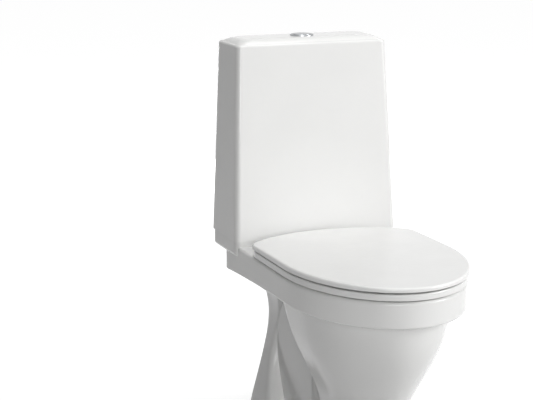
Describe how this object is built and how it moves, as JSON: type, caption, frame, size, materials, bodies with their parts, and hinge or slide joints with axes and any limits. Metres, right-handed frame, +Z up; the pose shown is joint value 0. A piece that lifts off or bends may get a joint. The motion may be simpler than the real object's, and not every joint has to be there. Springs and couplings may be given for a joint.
{
  "type": "floor-standing toilet",
  "caption": "Close-coupled floor-standing toilet with a tapered one-piece cistern cover, push-button flush valve, fill valve, slim hinged seat and lid, and a concealed trap that drains down a rear leg",
  "frame": {"origin": "on the floor, midway between the lid's front tip and the wall plane behind the cistern cover, on the middle plane", "axes": "+Z up, -Y towards the bowl's front, +X to the right of somebody who faces the toilet from the front"},
  "size_m": [0.37, 0.651, 0.8415],
  "materials": {
    "ceramic": "glossy white glaze",
    "seat_plastic": "glossy white",
    "chrome": "polished",
    "tank_plastic": "moulded",
    "valve_plastic": "moulded",
    "rubber": "matt",
    "bumper_rubber": "soft matt",
    "steel": "brushed",
    "brass": "machined"
  },
  "bodies": {
    "body": {"cistern_platform": "ceramic", "rim_band": "ceramic", "rear_deck": "ceramic", "bowl": "ceramic", "rear_leg": "ceramic", "cistern_cover": "ceramic", "inner_tank": "tank_plastic", "tank_gasket": "rubber", "tank_bolts": "steel", "tank_bolt_washers": "rubber", "tank_bolt_nuts": "brass", "flush_valve_seat": "valve_plastic", "flush_valve_nut": "valve_plastic", "valve_frame": "valve_plastic", "valve_bridge": "valve_plastic", "rocker_pin": "steel", "fill_valve_body": "valve_plastic", "fill_valve_cap": "valve_plastic", "inlet_washer": "rubber", "inlet_nut": "brass", "float_pin": "steel", "button_sleeve": "chrome", "hinge_posts": "chrome", "hinge_pins": "steel", "hinge_bolts": "steel", "hinge_washers": "rubber", "hinge_nuts": "valve_plastic"},
    "seat_body": {"seat": "seat_plastic", "seat_bumpers": "bumper_rubber"},
    "lid_body": {"lid": "seat_plastic", "lid_knuckles": "seat_plastic", "lid_bumpers": "bumper_rubber"},
    "full_button_body": {"full_flush_button": "chrome", "full_push_rod": "valve_plastic"},
    "half_button_body": {"half_flush_button": "chrome", "half_push_rod": "valve_plastic"},
    "full_rocker_body": {"full_flush_rocker": "valve_plastic"},
    "half_latch_body": {"half_flush_latch": "valve_plastic"},
    "valve_body": {"valve_lift": "valve_plastic", "valve_seal": "rubber"},
    "float_body": {"float_arm": "valve_plastic", "float": "valve_plastic"}
  },
  "joints": [
    {"name": "seat_hinge", "type": "hinge", "parent": "body", "child": "seat_body", "pos_m": [0, 0.1485, 0.4225], "axis": [-1, 0, 0], "range_deg": [0, 95]},
    {"name": "lid_hinge", "type": "hinge", "parent": "seat_body", "child": "lid_body", "pos_m": [0, 0.1485, 0.4225], "axis": [1, 0, 0], "range_deg": [-95, 0]},
    {"name": "full_flush_press", "type": "slide", "parent": "body", "child": "full_button_body", "axis": [0, 0, -1], "range_m": [0, 0.005], "stiffness_N_per_m": 300, "springref_m": -0.006},
    {"name": "half_flush_press", "type": "slide", "parent": "body", "child": "half_button_body", "axis": [0, 0, -1], "range_m": [0, 0.005], "stiffness_N_per_m": 300, "springref_m": -0.006},
    {"name": "full_rocker_turn", "type": "hinge", "parent": "body", "child": "full_rocker_body", "pos_m": [0, 0.2652, 0.735], "axis": [0, 1, 0], "range_deg": [0, 20.6]},
    {"name": "half_latch_turn", "type": "hinge", "parent": "body", "child": "half_latch_body", "pos_m": [0, 0.2652, 0.735], "axis": [0, -1, 0], "range_deg": [0, 20.6]},
    {"name": "valve_rise", "type": "slide", "parent": "body", "child": "valve_body", "axis": [0, 0, 1], "range_m": [0, 0.0116]},
    {"name": "float_swing", "type": "hinge", "parent": "body", "child": "float_body", "pos_m": [0.12, 0.2935, 0.703], "axis": [0, -1, 0], "range_deg": [0, 25]}
  ],
  "couplings": [
    {"joint": "full_rocker_turn", "follows": "full_flush_press", "rad_per_m": 71.4},
    {"joint": "valve_rise", "follows": "full_flush_press", "ratio": 2.3},
    {"joint": "half_latch_turn", "follows": "half_flush_press", "rad_per_m": 71.4}
  ]
}
